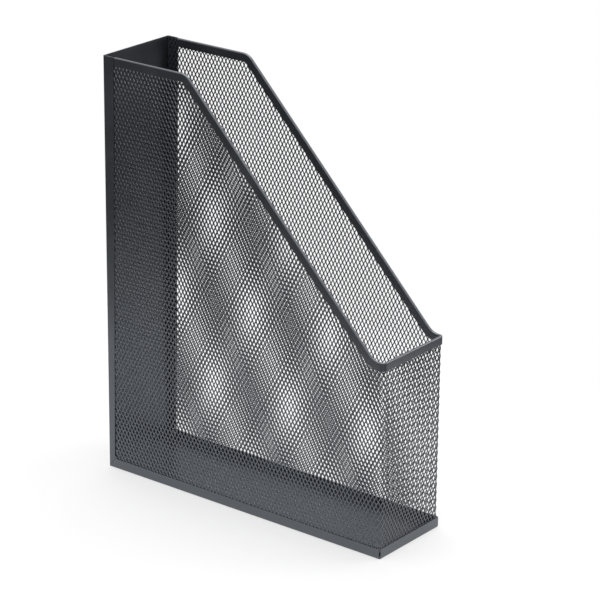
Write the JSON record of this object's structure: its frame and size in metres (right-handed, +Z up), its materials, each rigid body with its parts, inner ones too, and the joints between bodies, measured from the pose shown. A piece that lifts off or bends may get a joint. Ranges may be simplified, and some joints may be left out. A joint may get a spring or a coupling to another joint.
{
  "type": "magazine file holder",
  "caption": "Free-standing desk magazine file: sheet-steel back and floor tray, expanded-mesh sides and low front, folded rim along a sloping open top.",
  "frame": {"origin": "centre of the footprint, on the surface that the holder stands on", "axes": "+Z up, +X along the narrow width, +Y from the low open front towards the tall back panel"},
  "size_m": [0.07, 0.25, 0.315],
  "materials": {
    "sheet_steel": "satin black powder coat on sheet steel",
    "mesh_steel": "satin black powder coat on expanded steel mesh",
    "rim_steel": "satin black powder coat on a folded steel strip"
  },
  "bodies": {
    "root": {"back_panel": "sheet_steel", "base_tray": "sheet_steel", "mesh_wrap": "mesh_steel", "rim_channel": "rim_steel"}
  },
  "joints": []
}
